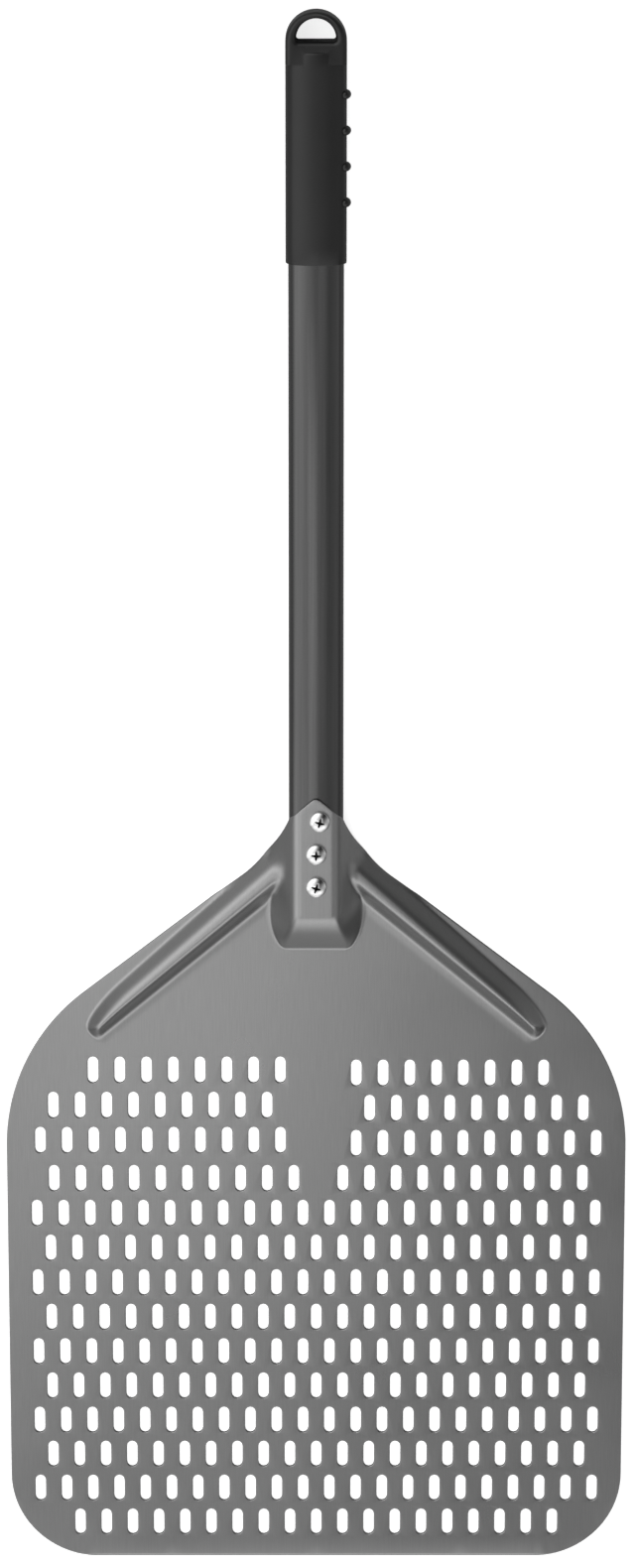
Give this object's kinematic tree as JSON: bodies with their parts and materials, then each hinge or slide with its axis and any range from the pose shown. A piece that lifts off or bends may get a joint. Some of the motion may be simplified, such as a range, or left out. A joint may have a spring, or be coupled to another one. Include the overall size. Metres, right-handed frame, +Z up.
{
  "type": "pizza peel",
  "caption": "Perforated sheet-metal pizza peel with a pressed channel and ribs, a flat oval tube handle, and a moulded grip with a hanging loop.",
  "frame": {"origin": "under the middle of the whole peel, on the surface that it lies on", "axes": "+Y along the handle towards the hanging loop, +Z up out of the blade's upper face, +X to the right"},
  "size_m": [0.3052, 0.7774, 0.022],
  "materials": {
    "blade_aluminium": "satin anodised grey",
    "tube_aluminium": "satin anodised dark grey",
    "grip_plastic": "matte moulded black",
    "carrier_plastic": "matte moulded black",
    "screw_steel": "bright nickel plate",
    "nut_steel": "zinc plate"
  },
  "bodies": {
    "root": {"blade": "blade_aluminium", "tube": "tube_aluminium", "grip": "grip_plastic", "nut_carrier": "carrier_plastic", "screw_rear": "screw_steel", "screw_middle": "screw_steel", "screw_front": "screw_steel", "nut_rear": "nut_steel", "nut_middle": "nut_steel", "nut_front": "nut_steel"}
  },
  "joints": []
}
